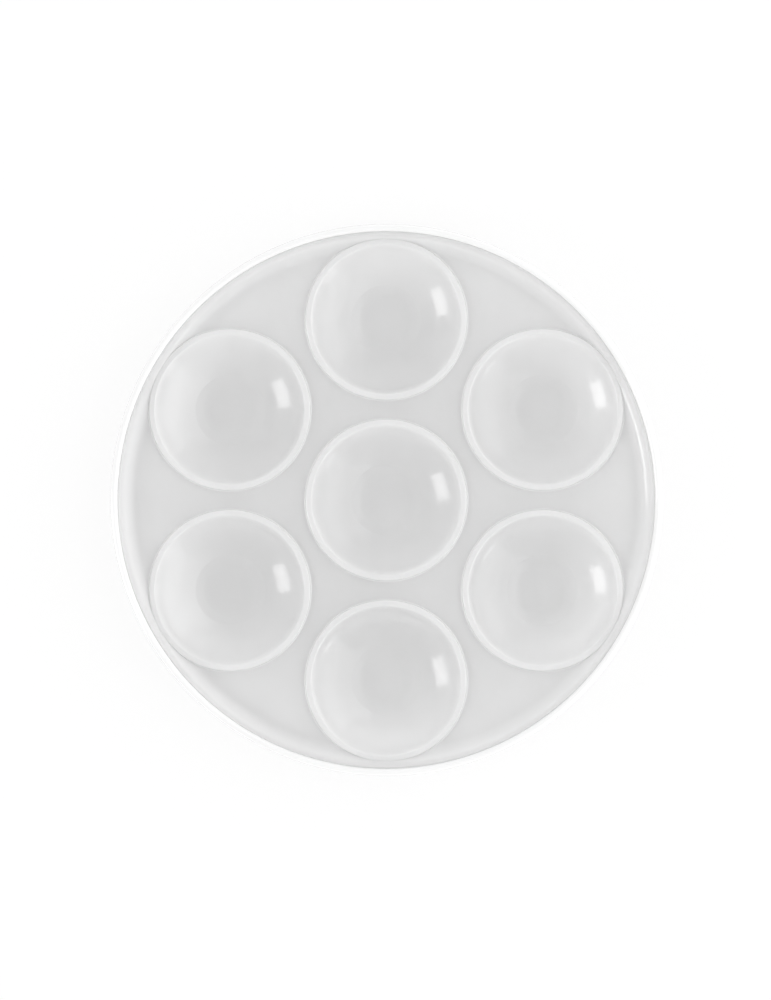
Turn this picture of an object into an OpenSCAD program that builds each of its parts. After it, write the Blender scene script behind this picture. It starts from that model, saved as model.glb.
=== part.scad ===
// Round mixing palette with seven wells, moulded in one piece from white plastic.
// It stands on the flat bottoms of its wells: z = 0 is the table, and the Z axis is its middle.
// Each region of the moulding is a solid of its own, and neighbours meet face to face.

/* [Tray] */
// Diameter over the side wall
overall_d = 175; // [140:1:240]
// Height from the table to the top of the edge
height = 16.5; // [13.5:0.1:24]
// Thickness of the deck and of the cups
wall_t = 2; // [1.2:0.1:3]
// Thickness of the side wall and width of the bead on top of it
rim_w = 2.4; // [1.4:0.1:4]
// Radius of the cove between the deck and the side wall
cove_r = 5.3; // [3:0.1:7]
// Height of the upright stretch between the cove and the bead
upright_h = 0.5; // [0.2:0.1:3]

/* [Wells] */
// Width of the deck between the lips of two neighbouring wells
web_w = 5.9; // [2:0.1:10]
// Distance from an outer well's lip to the upright inside of the side wall
edge_gap = 1.8; // [0.5:0.1:6]
// Width of the raised lip round a well
lip_w = 1.9; // [1.2:0.1:3]
// Height of the lip above the deck
lip_rise = 1.3; // [0.7:0.1:2]
// Radius on the outer edge of the lip
lip_round = 0.5; // [0.2:0.05:0.6]
// Diameter where the dished side turns into the gentle slope round the floor
crease_d = 22.4; // [18:0.1:26]
// Diameter of the flat floor of a well
floor_d = 15.2; // [10:0.1:17.5]
// Height of the gentle slope between the floor and the crease
slope_h = 0.8; // [0.3:0.1:1.2]

/* [Hidden] */
$fn = 96;

// Six wells stand round the middle one, the first at the back and the rest anticlockwise
RING = [
    "well_back", "well_back_left", "well_front_left",
    "well_front", "well_front_right", "well_back_right"
];
plastic = "whitesmoke";

// Radii of the tray: outside, inside of the upright wall, and where the deck runs into the cove
outer_r = overall_d / 2;
inner_r = outer_r - rim_w;
cove_x = inner_r - cove_r;
// The outside corner runs round the cove at the thickness of the deck
corner_r = cove_r + wall_t;
corner_x = outer_r - corner_r;

// Heights of the tray: seat of the bead, centre of the cove, and the two faces of the deck
bead_r = rim_w / 2;
seat_z = height - bead_r;
cove_z = seat_z - upright_h;
deck_top = cove_z - cove_r;
deck_bottom = deck_top - wall_t;

// Seven equal wells fill the tray: one, a web and two half wells span its radius
lip_r = (inner_r - edge_gap - web_w) / 3;
ring_r = 2 * lip_r + web_w;
lip_top = deck_top + lip_rise;

// The dished side is part of a sphere on the well's axis, through the crease and the lip's inner edge
mouth_r = lip_r - lip_w;
crease_r = crease_d / 2;
crease_z = wall_t + slope_h;
dish_z = (mouth_r ^ 2 + lip_top ^ 2 - crease_r ^ 2 - crease_z ^ 2) / (2 * (lip_top - crease_z));
dish_r = sqrt(crease_r ^ 2 + (dish_z - crease_z) ^ 2);

// Number of straight bands that make up the half-round bead
bead_bands = 14;

function ring_place(i) = [ring_r * cos(90 + 60 * i), ring_r * sin(90 + 60 * i), 0];

// Half section of the tray as if it were solid, from its axis to the outside of its side wall
module tray_section() {
    translate([0, deck_bottom]) square([corner_x, seat_z - deck_bottom]);
    translate([0, cove_z]) square([outer_r, upright_h]);
    intersection() {
        translate([corner_x, cove_z]) circle(corner_r);
        translate([corner_x, deck_bottom]) square(corner_r);
    }
}

// Half section of the space inside the tray, over the deck and within the cove
module tray_space_section() {
    translate([0, deck_top]) square([cove_x, height]);
    translate([0, cove_z]) square([inner_r, height]);
    intersection() {
        translate([cove_x, cove_z]) circle(cove_r);
        translate([cove_x, deck_top]) square(cove_r);
    }
}

// Plain cylinders over the outlines of the six outer lips
module ring_outlines() {
    for (i = [0:5]) {
        translate(ring_place(i) + [0, 0, deck_bottom]) cylinder(r = lip_r, h = height);
    }
}

// Outside of a cup under the deck: a thicker sphere, cut flat where it stands on the table
module cup_outside() {
    intersection() {
        translate([0, 0, dish_z]) sphere(dish_r + wall_t);
        cylinder(r = lip_r, h = deck_bottom);
    }
}

// Collar of a cup where it passes through the deck, with its lip rounded on the outer edge
module collar() {
    rotate_extrude() {
        translate([0, deck_bottom]) square([lip_r, lip_top - lip_round - deck_bottom]);
        translate([0, lip_top - lip_round]) square([lip_r - lip_round, lip_round]);
        intersection() {
            translate([lip_r - lip_round, lip_top - lip_round]) circle(lip_round);
            translate([lip_r - lip_round, lip_top - lip_round]) square(lip_round);
        }
    }
}

// Space inside a well: the dished side, and the gentle slope down to the flat floor
module well_space() {
    intersection() {
        translate([0, 0, dish_z]) sphere(dish_r);
        translate([0, 0, crease_z]) cylinder(r = lip_r, h = height);
    }
    translate([0, 0, wall_t]) cylinder(r1 = floor_d / 2, r2 = crease_r, h = slope_h);
}

// Flat deck, with a hole for each of the seven wells
module deck() {
    color(plastic) difference() {
        translate([0, 0, deck_bottom]) cylinder(r = cove_x, h = wall_t);
        translate([0, 0, deck_bottom]) cylinder(r = lip_r, h = height);
        ring_outlines();
    }
}

// Side wall with its cove, notched where the outer lips run into the cove
module side_wall() {
    color(plastic) difference() {
        rotate_extrude() difference() {
            intersection() {
                tray_section();
                translate([cove_x, deck_bottom]) square([outer_r, height]);
            }
            tray_space_section();
        }
        ring_outlines();
    }
}

// Rounded bead along the top of the side wall: half a round bar, turned in narrow bands
module rim_bead() {
    color(plastic) rotate_extrude() translate([inner_r + bead_r, seat_z]) polygon(
        [for (i = [0:bead_bands]) bead_r * [cos(180 * i / bead_bands), sin(180 * i / bead_bands)]]
    );
}

// Well in the middle of the deck
module well_centre() {
    color(plastic) difference() {
        union() {
            cup_outside();
            collar();
        }
        well_space();
    }
}

// One well of the ring. Its collar stops at the rounded outside corner of the tray
module ring_well(i) {
    color(plastic) difference() {
        union() {
            translate(ring_place(i)) cup_outside();
            intersection() {
                translate(ring_place(i)) collar();
                rotate_extrude() tray_section();
            }
        }
        translate(ring_place(i)) well_space();
    }
}

deck();
side_wall();
rim_bead();
well_centre();
for (i = [0:5]) {
    ring_well(i);
}
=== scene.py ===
# %% [markdown]
# # A round mixing palette in milky white plastic
# A watercolour palette of this kind is one injection moulding: a shallow tray with a coved, beaded
# edge, and seven dished wells with raised lips.  It has no moving parts, so the lesson is about
# three things: clean turned shapes, small roundings where surfaces meet, and a white plastic that
# is glossy and lets some light through.
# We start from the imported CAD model, which fixes every size.  Each CAD node is then replaced by a
# piece with the fine roundings that a mould has, in the same place and of the same size.

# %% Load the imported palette
import math

import bmesh
import bpy
from mathutils import Matrix, Vector


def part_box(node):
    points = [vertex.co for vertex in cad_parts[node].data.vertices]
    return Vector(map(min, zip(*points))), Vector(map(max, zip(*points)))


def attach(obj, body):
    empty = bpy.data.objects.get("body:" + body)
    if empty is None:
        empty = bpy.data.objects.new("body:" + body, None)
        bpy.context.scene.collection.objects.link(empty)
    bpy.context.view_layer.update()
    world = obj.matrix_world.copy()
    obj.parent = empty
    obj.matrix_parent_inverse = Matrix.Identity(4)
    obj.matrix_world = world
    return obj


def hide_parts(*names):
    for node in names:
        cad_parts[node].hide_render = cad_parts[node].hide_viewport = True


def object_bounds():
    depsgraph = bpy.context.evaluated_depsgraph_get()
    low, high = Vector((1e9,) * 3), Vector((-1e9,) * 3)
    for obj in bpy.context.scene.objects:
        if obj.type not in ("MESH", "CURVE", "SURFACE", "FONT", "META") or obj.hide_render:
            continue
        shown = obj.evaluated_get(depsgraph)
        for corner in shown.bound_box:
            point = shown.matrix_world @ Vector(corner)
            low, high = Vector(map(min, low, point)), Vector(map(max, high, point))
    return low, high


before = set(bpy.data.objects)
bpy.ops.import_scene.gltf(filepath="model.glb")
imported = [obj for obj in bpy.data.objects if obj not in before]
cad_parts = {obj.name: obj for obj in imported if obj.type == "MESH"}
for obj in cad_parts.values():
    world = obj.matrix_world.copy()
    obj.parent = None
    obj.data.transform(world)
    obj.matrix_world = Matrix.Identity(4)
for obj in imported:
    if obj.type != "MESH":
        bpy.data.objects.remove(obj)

cad_low, cad_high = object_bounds()
print("CAD box in mm:", [round(1000 * (b - a), 2) for a, b in zip(cad_low, cad_high)])

# %% [markdown]
# ## Sizes
# Blender works in metres here, and a palette is easier to think of in millimetres, so `MM` turns
# one into the other.  Everything that the frame knows is read from its boxes.  Only the small shapes
# inside a well are given again: the floor, the slope round it, and the width of the lip.
# Reading the rest from the frame keeps the visual pieces tied to the CAD ones.

# %% Sizes that the frame gives
MM = 0.001
RING = [
    "well_back", "well_back_left", "well_front_left",
    "well_front", "well_front_right", "well_back_right",
]
deck_low, deck_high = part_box("deck")
_, well_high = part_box("well_centre")
back_low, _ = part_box("well_back")
bead_low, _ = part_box("rim_bead")
outer_r = cad_high.x
top_z = cad_high.z
deck_bottom, deck_top = deck_low.z, deck_high.z
cove_x = deck_high.x
lip_r, lip_top = well_high.x, well_high.z
seat_z = bead_low.z
ring_r = back_low.y + lip_r
wall_t = deck_top - deck_bottom
print(f"ring of wells at {ring_r / MM:.2f} mm")
print(f"lips {lip_r / MM:.2f} mm in radius and {lip_top / MM:.2f} mm up")

# %% Sizes of the small shapes
rim_w = 2.4 * MM
upright_h = 0.5 * MM
mouth_r = lip_r - 1.9 * MM
crease_r, crease_z = 11.2 * MM, 2.8 * MM
floor_r, floor_z = 7.6 * MM, 2.0 * MM
inner_r = outer_r - rim_w
cove_z = seat_z - upright_h
cove_r = cove_z - deck_top
corner_r = cove_r + wall_t
corner_x = outer_r - corner_r
print(f"cove {cove_r / MM:.2f} mm, outside corner {corner_r / MM:.2f} mm")

# The dished side is part of a sphere through the crease and the lip's inner edge
dish_z = (mouth_r**2 + lip_top**2 - crease_r**2 - crease_z**2) / (2 * (lip_top - crease_z))
dish_r = math.hypot(crease_r, dish_z - crease_z)
print(f"dished side of radius {dish_r / MM:.1f} mm about a point {dish_z / MM:.1f} mm up")

# %% [markdown]
# ## Turned shapes
# Every piece of the palette is round.  One way to make such a piece is to join and cut ready-made
# cylinders and spheres, and then to bevel the edges that appear.  It is cleaner to work as a lathe
# does: half of the section is drawn as a wire, and bmesh's spin turns the wire about an axis.
# Corners are rounded on the wire, before the turn, by bevelling single vertices.  That keeps the
# roundings even all the way round and leaves no clean-up for afterwards.
# The two roundings of the tray, inside and outside, are written as quarter circles of their own,
# because they share one centre line and the wall between them has to stay even.

# %% Draw half a section as a wire
ROUND_WELL = 192
ROUND_RIM = 384


def wire(corners, closed):
    """A wire in the XZ plane through corners of (x, z, rounding), each rounded by that much."""
    bm = bmesh.new()
    points = [bm.verts.new((x, 0, z)) for x, z, rounding in corners]
    for a, b in zip(points, points[1:]):
        bm.edges.new((a, b))
    if closed:
        bm.edges.new((points[-1], points[0]))
    for point, (x, z, rounding) in zip(points, corners):
        if rounding:
            bmesh.ops.bevel(
                bm, geom=[point], affect="VERTICES", offset_type="OFFSET", offset=rounding,
                segments=6, profile=0.5, material=-1,
            )
    return bm


def dished(radius, centre_z, from_r, to_r, steps):
    """Corners along a sphere on the axis, from one distance out to another."""
    start = math.asin(from_r / radius)
    end = math.asin(to_r / radius)
    angles = [start + (end - start) * i / steps for i in range(steps + 1)]
    return [(radius * math.sin(a), centre_z - radius * math.cos(a), 0) for a in angles]


def quarter(centre_x, centre_z, radius, steps):
    """Corners along a quarter circle, from straight below its centre to straight beside it."""
    angles = [math.pi / 2 * i / steps for i in range(steps + 1)]
    return [(centre_x + radius * math.sin(a), centre_z - radius * math.cos(a), 0) for a in angles]


# %% Turn the wire into a solid
def turned(corners, steps, closed=False, centre=(0, 0)):
    """The solid that a wire makes when it is turned about the Z axis, moved to its centre."""
    bm = wire(corners, closed)
    bmesh.ops.spin(
        bm, geom=bm.verts[:] + bm.edges[:], cent=(0, 0, 0), axis=(0, 0, 1),
        angle=2 * math.pi, steps=steps, use_merge=True,
    )
    bmesh.ops.remove_doubles(bm, verts=bm.verts[:], dist=0.0005 * MM)
    bmesh.ops.recalc_face_normals(bm, faces=bm.faces[:])
    bmesh.ops.translate(bm, verts=bm.verts[:], vec=(centre[0], centre[1], 0))
    return bm


def new_object(name, bm):
    """An object from a bmesh, in the scene and at the origin."""
    mesh = bpy.data.meshes.new(name)
    bm.to_mesh(mesh)
    bm.free()
    obj = bpy.data.objects.new(name, mesh)
    bpy.context.scene.collection.objects.link(obj)
    return obj


# %% [markdown]
# ## Cutting one turned shape with another
# The wells stand in holes in the deck, and the outer ones run into the cove and the rounded outside
# corner of the tray.  Those are curves where two turned shapes cross, which no spin makes.  A
# Boolean modifier with the exact solver finds them.  It is applied at once, so that the finished
# piece is a plain mesh, and its cutter is thrown away.

# %% Cut and keep the result
def cut_away(obj, bm):
    """Takes the solids in a bmesh out of an object, and keeps the result as its mesh."""
    cutter = new_object("cutter", bm)
    boolean = obj.modifiers.new("cut", "BOOLEAN")
    boolean.operation = "DIFFERENCE"
    boolean.solver = "EXACT"
    boolean.object = cutter
    graph = bpy.context.evaluated_depsgraph_get()
    whole = obj.data
    obj.data = bpy.data.meshes.new_from_object(obj.evaluated_get(graph))
    obj.modifiers.clear()
    bpy.data.meshes.remove(whole)
    bpy.data.objects.remove(cutter)
    return obj


# %% [markdown]
# ## The plastic
# The real palette is moulded in a milky white polystyrene with a smooth, softly glossy skin.  A
# plain white paint-like shader makes it look like glazed china, because no light gets through it.
# Here part of the light that reaches a surface is scattered back, and part of it goes on into the
# plastic and comes out at the far side.  Every piece is a closed solid, so light has to pass two
# skins to get through a wall, and the white table under the tray lights it from below.  That is
# why the floors of the wells, which touch the table, look darker than the open edge of the deck.
# Subsurface scattering would do the same inside one solid, but it stops at the joints between the
# pieces and would draw them as dark lines.
# Thick plastic passes less light than thin plastic.  Each point of a piece carries its thickness in
# millimetres as an attribute, and the share that passes through is read from it.

# %% Nodes and colours
def add(tree, kind, inputs=(), **settings):
    """Adds a node with its settings, and gives its inputs a value or a link each."""
    node = tree.nodes.new(kind)
    for name, value in settings.items():
        setattr(node, name, value)
    for socket, value in dict(inputs).items():
        if isinstance(value, bpy.types.NodeSocket):
            tree.links.new(value, node.inputs[socket])
        else:
            node.inputs[socket].default_value = value
    return node


def linear(code):
    """A colour written as six hex digits, as the linear values that Blender wants."""
    parts = [int(code[i:i + 2], 16) / 255 for i in (0, 2, 4)]
    return [c / 12.92 if c <= 0.04045 else ((c + 0.055) / 1.055) ** 2.4 for c in parts] + [1]


# %% Milky moulded polystyrene
# The steel of the mould was polished, so the skin is smooth.  As the melt fills the mould it cools
# unevenly: it leaves faint clouds some 15 mm wide in the white, patches some 7 mm wide where the
# skin is a little duller, and a hardly visible ripple of about 1.5 mm.
milky_plastic = bpy.data.materials.new("milky moulded polystyrene")
milky_plastic.use_nodes = True
tree = milky_plastic.node_tree
tree.nodes.clear()
place = add(tree, "ShaderNodeTexCoord").outputs["Object"]
clouds = add(
    tree, "ShaderNodeTexNoise",
    {"Vector": place, "Scale": 1 / (15 * MM), "Detail": 3.0, "Roughness": 0.5},
)
white = add(
    tree, "ShaderNodeMix",
    {0: clouds.outputs[0], 6: linear("F6F6F6"), 7: linear("FBFBFB")}, data_type="RGBA",
).outputs[2]
duller = add(
    tree, "ShaderNodeTexNoise",
    {"Vector": place, "Scale": 1 / (7 * MM), "Detail": 4.0, "Roughness": 0.6},
)
gloss = add(
    tree, "ShaderNodeMapRange",
    {"Value": duller.outputs[0], "From Min": 0.3, "From Max": 0.7, "To Min": 0.14, "To Max": 0.2},
)
ripple = add(
    tree, "ShaderNodeTexNoise",
    {"Vector": place, "Scale": 1 / (1.5 * MM), "Detail": 1.0, "Roughness": 0.4},
)
skin = add(
    tree, "ShaderNodeBump",
    {"Height": ripple.outputs[0], "Strength": 0.3, "Distance": 0.006 * MM},
)
thickness = add(tree, "ShaderNodeAttribute", attribute_name="thickness_mm")
passing = add(
    tree, "ShaderNodeMapRange",
    {"Value": thickness.outputs["Fac"], "From Min": 2.0, "From Max": 8.0,
     "To Min": 0.6, "To Max": 0.05},
)
kept = add(
    tree, "ShaderNodeBsdfPrincipled",
    {"Base Color": white, "Roughness": gloss.outputs[0], "Normal": skin.outputs[0],
     "IOR": 1.59, "Coat Weight": 1.0, "Coat Roughness": 0.12, "Coat IOR": 1.59},
)
passed = add(tree, "ShaderNodeBsdfTranslucent", {"Color": white, "Normal": skin.outputs[0]})
both = add(
    tree, "ShaderNodeMixShader",
    {0: passing.outputs[0], 1: kept.outputs[0], 2: passed.outputs[0]},
)
add(tree, "ShaderNodeOutputMaterial", {"Surface": both.outputs[0]})
print(milky_plastic.name, "with", len(tree.nodes), "nodes")


# %% [markdown]
# ## Finishing a piece
# A turned mesh is made of flat faces.  Smooth shading hides them, but it would also smear the light
# over the real corners.  So edges sharper than 35 degrees stay sharp, and a Weighted Normal modifier
# lets the large flat faces decide which way the corners of the small ones point.
# The crease round a floor bends by only about 7 degrees, which is less than a step of the rounding
# on a lip, so no angle can part the two.  It is found by its height instead and marked by itself.
# Each piece then rides on the palette's one body and stands in for its node.

# %% Thickness, shading and place of a piece
def mark_thickness(obj, at):
    """Gives each point of a piece the thickness of plastic, in millimetres, that light has to cross."""
    layer = obj.data.attributes.new("thickness_mm", "FLOAT", "POINT")
    for vertex, value in zip(obj.data.vertices, layer.data):
        value.value = at(vertex.co)


def mark_crease(mesh):
    """Marks the edges at the height of the crease round a floor as sharp, and counts them."""
    found = 0
    for edge in mesh.edges:
        heights = [mesh.vertices[i].co.z for i in edge.vertices]
        if all(abs(z - crease_z) < 0.001 * MM for z in heights):
            edge.use_edge_sharp = True
            found += 1
    return found


def finish_piece(obj, node, at=lambda place: wall_t / MM):
    """Smooth shading that keeps corners, the thickness, the place of the CAD node, and a report."""
    obj.data.name = obj.name
    for polygon in obj.data.polygons:
        polygon.use_smooth = True
    obj.data.set_sharp_from_angle(angle=math.radians(35))
    creased = mark_crease(obj.data)
    even = obj.modifiers.new("even normals", "WEIGHTED_NORMAL")
    even.keep_sharp = True
    even.weight = 100
    mark_thickness(obj, at)
    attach(obj, "root")
    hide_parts(node)
    obj.data.materials.clear()
    obj.data.materials.append(milky_plastic)
    bm = bmesh.new()
    bm.from_mesh(obj.data)
    loose = sum(1 for e in bm.edges if len(e.link_faces) != 2)
    print(f"{obj.name}: {len(obj.data.polygons)} faces, {loose} open edges, {creased} crease edges, "
          f"{bm.calc_volume() / MM**3:.0f} mm3")
    bm.free()
    return obj


def share(value, start, end):
    """How far a value has come from start to end, from 0 to 1."""
    return min(1, max(0, (value - start) / (end - start)))


# %% [markdown]
# ## Wells
# A well is a shallow cup for one colour.  Its flat floor ends in a gentle slope, and a crease
# parts that from the dished side, which is a piece of a sphere so that a brush finds no corner.  Its
# lip stands above the deck, to keep thin paint in, with a flat top, a soft outer edge and a small
# fillet at its foot.  Without that fillet the foot of the lip would be a hard dark line.
# The well is joined to the deck 0.6 mm outside its lip, past the fillet, so that the joint lies in
# a flat where it doesn't show.  The underside follows the dish at the thickness of the wall.

# %% Section of a well
STRIP = 0.2 * MM
lip_fall = 0.2 * MM
flank_x = lip_r - 0.15 * MM
joint_r = lip_r + 0.6 * MM
inside = [(0, floor_z, 0), (floor_r, floor_z, 1.2 * MM)]
inside += dished(dish_r, dish_z, crease_r, mouth_r, 24)[:-1]
inside += [(mouth_r, lip_top, 0.3 * MM)]
lip_outside = [
    (flank_x, lip_top - lip_fall, 0.45 * MM),
    (flank_x + 0.1 * MM, deck_top, 0.5 * MM),
    (joint_r, deck_top, 0),
]
foot_r = math.sqrt((dish_r + wall_t)**2 - dish_z**2)
cup_r = math.sqrt((dish_r + wall_t)**2 - (dish_z - deck_bottom)**2)
underside = [(joint_r, deck_bottom, 0), (cup_r + 0.8 * MM, deck_bottom, 0)]
underside += dished(dish_r + wall_t, dish_z, foot_r, cup_r - 0.6 * MM, 20)[::-1]
well_section = inside + lip_outside + underside + [(0, 0, 0)]
print(f"lip {(flank_x - mouth_r) / MM:.2f} mm wide, foot of the cup {2 * foot_r / MM:.1f} mm across")

# %% [markdown]
# The melt entered the mould under the middle well, and where the sprue was cut off there is a small
# round recess, so that the cut end can't scratch the table.  Only this well has it.

# %% Middle well, with the recess of the gate
gate_r, gate_depth = 2.0 * MM, 0.3 * MM
gate = [(gate_r + 0.1 * MM, 0, 0), (gate_r, gate_depth, 0), (0, gate_depth, 0)]


def lip_thickness(centre):
    """A function for the thickness of a well: the wall, and more of it in the lip."""
    def at(place):
        out = math.hypot(place.x - centre[0], place.y - centre[1])
        raised = share(out, mouth_r - 1.2 * MM, mouth_r) * share(joint_r - out, 0, 1.0 * MM)
        return wall_t / MM + 2.2 * raised
    return at


middle = new_object("moulded_well_centre", turned(inside + lip_outside + underside + gate, ROUND_WELL))
finish_piece(middle, "well_centre", lip_thickness((0, 0)))

# %% [markdown]
# The six outer wells are alike, so one is made and cut, and the other five are turned copies of it.
# The cutter is everything outside the tray's rounded lower corner, which the wells' collars would
# otherwise poke through.  192 and 384 steps are both multiples of six, so the copies match the tray.

# %% Ring of wells
def corner_cutter():
    """Everything outside the rounded lower corner of the tray."""
    below = deck_bottom - 0.02 * MM
    beyond = outer_r + 2 * MM
    section = [(corner_x, below, 0)] + quarter(corner_x, cove_z, corner_r, 24)
    section += [(beyond, cove_z, 0), (beyond, below, 0)]
    return turned(section, ROUND_RIM, closed=True)


places = {"well_centre": (0, 0)}
for i, name in enumerate(RING):
    turn = math.radians(90 + 60 * i)
    places[name] = (ring_r * math.cos(turn), ring_r * math.sin(turn))

first = new_object("moulded_well_back", turned(well_section, ROUND_WELL, centre=places["well_back"]))
cut_away(first, corner_cutter())
for i, name in enumerate(RING[1:], start=1):
    copied = bmesh.new()
    copied.from_mesh(first.data)
    turn = Matrix.Rotation(math.radians(60 * i), 3, "Z")
    bmesh.ops.rotate(copied, verts=copied.verts[:], cent=(0, 0, 0), matrix=turn)
    finish_piece(new_object("moulded_" + name, copied), name, lip_thickness(places[name]))
finish_piece(first, "well_back", lip_thickness(places["well_back"]))

# %% [markdown]
# ## Deck
# The deck is the flat sheet between the wells.  It is a turned disc, cut by seven plain cylinders as
# wide as the lips.  It stops 0.4 mm short of the cove, where the side wall takes over with a flat
# strip, so that this joint too lies in a flat.

# %% Disc with seven holes
def at_wells(section, names):
    """One bmesh with a turned solid at each of the named wells."""
    every = bmesh.new()
    for name in names:
        one = turned(section, ROUND_WELL, centre=places[name])
        mesh = bpy.data.meshes.new("one")
        one.to_mesh(mesh)
        one.free()
        every.from_mesh(mesh)
        bpy.data.meshes.remove(mesh)
    return every


seam_r = cove_x - 2 * STRIP
disc = [(0, deck_bottom, 0), (seam_r, deck_bottom, 0), (seam_r, deck_top, 0), (0, deck_top, 0)]
hole = [(0, 0, 0), (joint_r, 0, 0), (joint_r, top_z, 0), (0, top_z, 0)]
deck = new_object("moulded_deck", turned(disc, ROUND_RIM))
cut_away(deck, at_wells(hole, places))
finish_piece(deck, "deck")

# %% [markdown]
# ## Side wall
# The side wall rises from the deck in a cove, so that paint wipes out of the tray, and ends upright
# under the bead.  Outside, the corner runs round the cove at the same thickness.  The outer lips
# stand partly in the cove, so the wall is cut by the outside shape of a lip, fillet and all.  The
# cutter's strip lies 0.01 mm above the deck's level: two faces in one plane make an exact cut fail.

# %% Wall with its cove
clear = 0.01 * MM
wall_top = seat_z - upright_h / 2
wall_section = [(seam_r, deck_top, 0)] + quarter(cove_x, cove_z, cove_r, 24)
wall_section += [(inner_r, wall_top, 0), (outer_r, wall_top, 0)]
wall_section += quarter(corner_x, cove_z, corner_r, 24)[::-1] + [(seam_r, deck_bottom, 0)]
lip_block = [(0, 0, 0), (0, lip_top, 0), (mouth_r, lip_top, 0)]
lip_block += [(x, max(z, deck_top + clear), rounding) for x, z, rounding in lip_outside] + [(joint_r, 0, 0)]


def wall_thickness(place):
    """Thicker towards the top, where light would have to come up the whole height of the wall."""
    out = math.hypot(place.x, place.y)
    return wall_t / MM + 4.0 * share(place.z, deck_top, wall_top) * share(out, cove_x, inner_r)


side_wall = new_object("moulded_side_wall", turned(wall_section, ROUND_RIM, closed=True))
cut_away(side_wall, at_wells(lip_block, RING))
finish_piece(side_wall, "side_wall", wall_thickness)

# %% [markdown]
# ## Bead
# The edge of a tray that is held and carried is never left sharp.  This bead is as wide as the wall
# and nearly half-round: both corners of its section are rounded by almost half its width.  It is the
# thickest plastic of the palette, so it passes hardly any light and looks the whitest.

# %% Rounded bead
bead_section = [
    (inner_r, wall_top, 0), (outer_r, wall_top, 0),
    (outer_r, top_z, 0.49 * rim_w), (inner_r, top_z, 0.49 * rim_w),
]
rim_bead = new_object("moulded_rim_bead", turned(bead_section, ROUND_RIM, closed=True))
finish_piece(rim_bead, "rim_bead", lambda place: 8.0)

# %% [markdown]
# ## Camera
# The palette is looked at from straight above.  A long lens from 1.4 m keeps the wells round and
# shows a little of how the sides widen upwards.  The lens follows from the height of the view.

# %% Camera over the palette
camera_up = 1.4
view_height = 0.3166
camera_aside = -0.25 * MM
camera = bpy.data.objects.new("camera", bpy.data.cameras.new("camera"))
bpy.context.scene.collection.objects.link(camera)
camera.location = (camera_aside, 0, camera_up + top_z)
camera.data.lens = camera.data.sensor_width * camera_up / view_height
camera.data.clip_start = 0.01
bpy.context.scene.camera = camera
print(f"lens {camera.data.lens:.0f} mm")

# %% [markdown]
# ## Table and surroundings
# The palette lies on white card in a small tent of white cloth.  The card does real work here: what
# it sends up through the plastic is half of the palette's brightness, so it has to be lit as any
# other surface is.  The camera should see it as plain white with a soft shadow, though.  So rays from
# the camera, from a gloss or through clear glass see mostly an even white, and the rest of their view
# is the lit card with the shadow on it.  All other light meets the card alone.  Light that is
# scattered on its way through milky plastic counts both as transmitted and as diffuse, which is how
# it is told from light through glass.  The room behind the card is treated in the same way.
# The card lies 0.02 mm under the palette, because two surfaces in one plane can't be told apart.

# %% Rays that see plain white
def sees_white(tree):
    """A socket that is 1 for camera, gloss and clear glass rays, and 0 for scattered light."""
    path = add(tree, "ShaderNodeLightPath")
    straight = add(
        tree, "ShaderNodeMath",
        {0: path.outputs["Is Camera Ray"], 1: path.outputs["Is Glossy Ray"]}, operation="MAXIMUM",
    )
    clear = add(
        tree, "ShaderNodeMath",
        {0: path.outputs["Is Transmission Ray"], 1: path.outputs["Is Diffuse Ray"]},
        operation="SUBTRACT",
    )
    either = add(
        tree, "ShaderNodeMath", {0: straight.outputs[0], 1: clear.outputs[0]}, operation="MAXIMUM",
    )
    return either.outputs[0]


# %% White card
card_gap = 0.02 * MM
even_share = 0.85
floor_mesh = bmesh.new()
bmesh.ops.create_grid(floor_mesh, x_segments=1, y_segments=1, size=3)
floor = new_object("floor", floor_mesh)
floor.location.z = -card_gap
white_card = bpy.data.materials.new("white card")
white_card.use_nodes = True
tree = white_card.node_tree
tree.nodes.clear()
seen = add(tree, "ShaderNodeMath", {0: sees_white(tree), 1: even_share}, operation="MULTIPLY")
card = add(tree, "ShaderNodeBsdfDiffuse", {"Color": linear("F0F0F0")})
even_white = add(tree, "ShaderNodeEmission", {"Color": (1, 1, 1, 1), "Strength": 1.02})
mix = add(
    tree, "ShaderNodeMixShader",
    {0: seen.outputs[0], 1: card.outputs[0], 2: even_white.outputs[0]},
)
add(tree, "ShaderNodeOutputMaterial", {"Surface": mix.outputs[0]})
floor.data.materials.append(white_card)

# %% Room
world = bpy.data.worlds.new("room")
bpy.context.scene.world = world
world.use_nodes = True
tree = world.node_tree
tree.nodes.clear()
room = add(tree, "ShaderNodeBackground", {"Color": (1, 1, 1, 1), "Strength": 0.61})
backdrop = add(tree, "ShaderNodeBackground", {"Color": (1, 1, 1, 1), "Strength": 1.0})
mix = add(
    tree, "ShaderNodeMixShader",
    {0: sees_white(tree), 1: room.outputs[0], 2: backdrop.outputs[0]},
)
add(tree, "ShaderNodeOutputWorld", {"Surface": mix.outputs[0]})
bpy.context.scene.view_settings.view_transform = "Standard"


# %% [markdown]
# ## Lights
# The tent is lit through its sides.  Each lit part of it is an area lamp, given by its middle, the
# way that it faces, its two sizes and its brightness, where 1 is the brightness of a fully lit white
# sheet.  `light_panel` turns the brightness into the power in watts that Blender wants.
# Low panels all round light the card and the sides of the tray.  The large panels on the right show
# as the paler half of each well, and the window on the left as the bright spot across from it.
# The low strip stands on the right, towards the front, and adds only a faint light from there.

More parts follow.
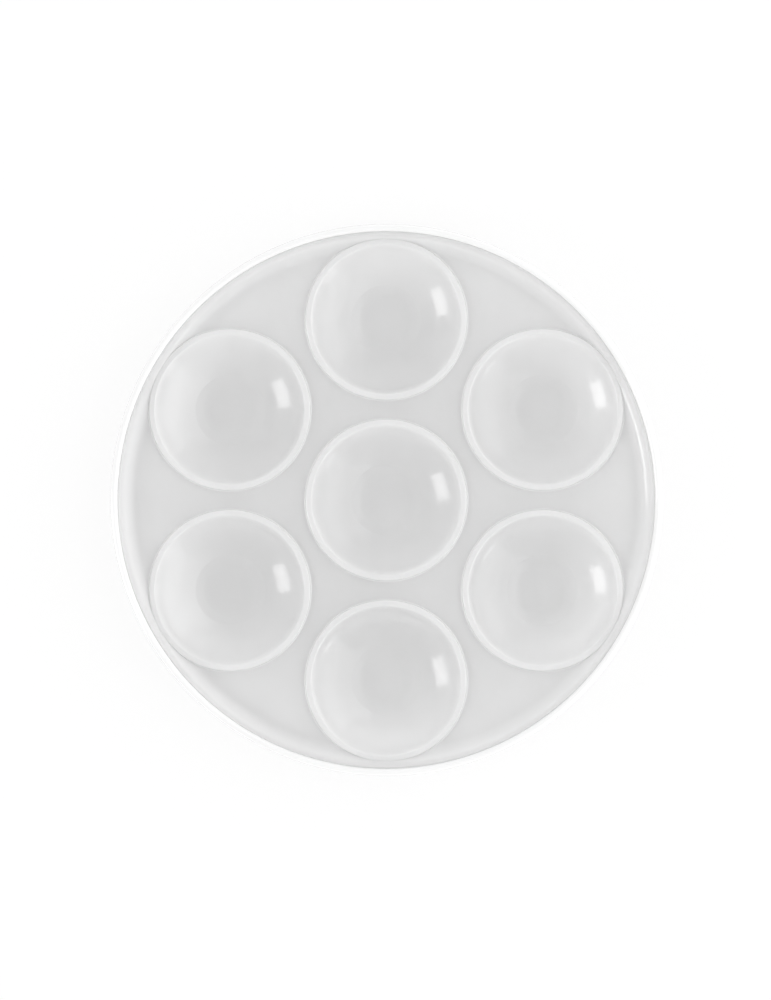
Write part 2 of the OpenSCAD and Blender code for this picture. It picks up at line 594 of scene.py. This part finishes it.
# %% Lit panels of the tent
def light_panel(name, centre, facing, width, depth, brightness):
    """A rectangular lamp that the camera doesn't see."""
    lamp = bpy.data.lights.new(name, "AREA")
    lamp.shape = "RECTANGLE"
    lamp.size = width
    lamp.size_y = depth
    lamp.energy = math.pi * width * depth * brightness
    obj = bpy.data.objects.new(name, lamp)
    obj.location = centre
    obj.rotation_euler = (-Vector(facing)).to_track_quat("Z", "Y").to_euler()
    obj.visible_camera = False
    bpy.context.scene.collection.objects.link(obj)
    return obj


def towards(azimuth, zenith, distance):
    """The point at an angle round from the right and an angle down from straight up."""
    a, z = math.radians(azimuth), math.radians(zenith)
    return Vector((math.sin(z) * math.cos(a), math.sin(z) * math.sin(a), math.cos(z))) * distance


# The tent is 2 m wide.  Its low panels are 0.33 m tall, and those above them 0.4 m
wide, low_z, side_z, upper_z, top_z_lamp = 2.0, 0.185, 0.55, 0.95, 1.15
low_tall, tall, top_deep = 0.33, 0.4, 0.6
light_panel("low panel right", (1.0, 0, low_z), (-1, 0, 0), wide, low_tall, 0.9)
light_panel("low panel left", (-1.0, 0, low_z), (1, 0, 0), wide, low_tall, 0.5)
light_panel("low panel back", (0, 1.0, low_z), (0, -1, 0), wide, low_tall, 0.55)
light_panel("low panel front", (0, -1.0, low_z), (0, 1, 0), wide, low_tall, 0.8)
light_panel("side panel right", (1.0, 0, side_z), (-1, 0, 0), wide, tall, 1.4)
light_panel("side panel left", (-1.0, 0, side_z), (1, 0, 0), wide, tall, 0.3)
light_panel("side panel back", (0, 1.0, side_z), (0, -1, 0), wide, tall, 0.4)
light_panel("upper panel right", (1.0, 0, upper_z), (-1, 0, 0), wide, tall, 0.9)
light_panel("top panel right", (0.7, 0, top_z_lamp), (0, 0, -1), top_deep, wide, 1.1)
light_panel("top panel left", (-0.7, 0, top_z_lamp), (0, 0, -1), top_deep, wide, 0.3)
lamp_far = 1.8
window = towards(194, 62.6, lamp_far)
light_panel("left window", window, -window, 0.8, 0.46, 5.0)
strip = towards(325, 79, lamp_far)
light_panel("low strip", strip, -strip, 0.44, 0.11, 4.0)
